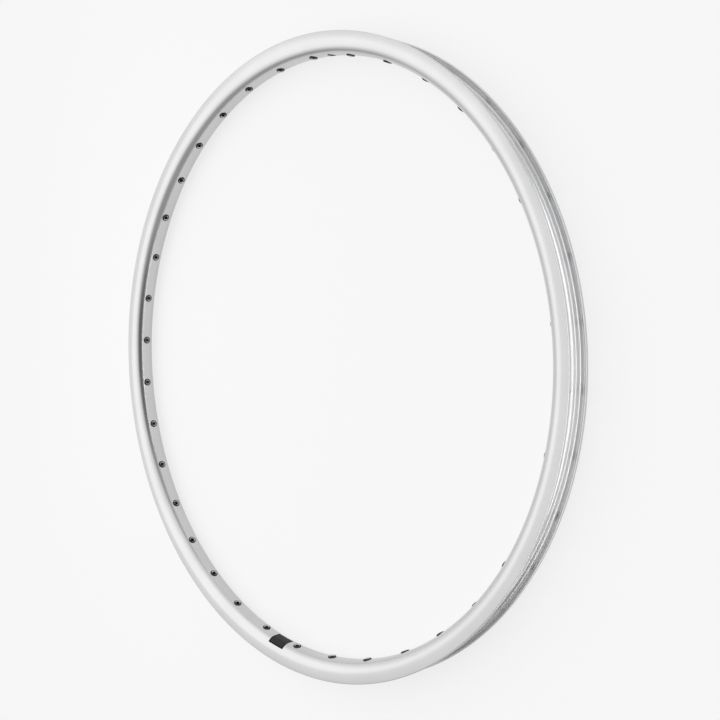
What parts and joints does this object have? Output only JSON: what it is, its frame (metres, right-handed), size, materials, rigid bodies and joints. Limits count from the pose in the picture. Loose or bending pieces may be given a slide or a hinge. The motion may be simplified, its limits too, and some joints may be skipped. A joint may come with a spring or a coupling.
{
  "type": "bicycle rim",
  "caption": "Bare double-wall bicycle rim: a hollow aluminium hoop with hooked flanges for a wired-on tyre, staggered spoke holes in its bed and a valve hole.",
  "frame": {"origin": "centre of the hoop, half way across its width", "axes": "+Z along the axle line, up as the rim lies on its side; +Y towards the valve hole"},
  "size_m": [0.6339, 0.634, 0.027],
  "materials": {
    "anodised_aluminium": "silver satin anodised",
    "eyelet_steel": "plated steel, slightly dark",
    "label_film": "bare black film, half gloss"
  },
  "bodies": {
    "root": {"rim": "anodised_aluminium"}
  },
  "joints": []
}
